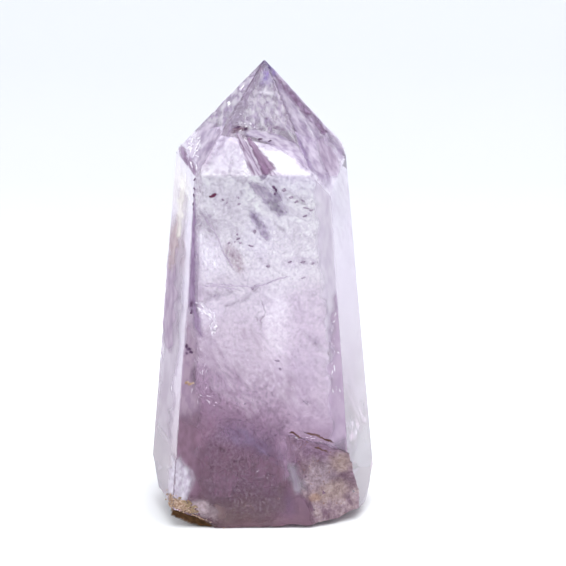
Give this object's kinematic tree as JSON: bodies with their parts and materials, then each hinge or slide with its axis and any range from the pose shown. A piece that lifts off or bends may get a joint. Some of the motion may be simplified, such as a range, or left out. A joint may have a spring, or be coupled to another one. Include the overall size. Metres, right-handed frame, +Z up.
{
  "type": "amethyst point",
  "caption": "Free-standing polished amethyst point with tapering sides, a faceted pyramid tip and a broken, roughly sawn foot.",
  "frame": {"origin": "on the sawn foot that the stone stands on, below the middle of its sides", "axes": "+Z up to the tip, -Y out of the widest face, which has the split corner, +X to that face's right as seen from the front"},
  "size_m": [0.0455, 0.0393, 0.0903],
  "materials": {
    "amethyst": "clear to cloudy pale violet quartz, polished on the sides and tip, matt and granular where it is broken"
  },
  "bodies": {
    "root": {"amethyst_point": "amethyst"}
  },
  "joints": []
}
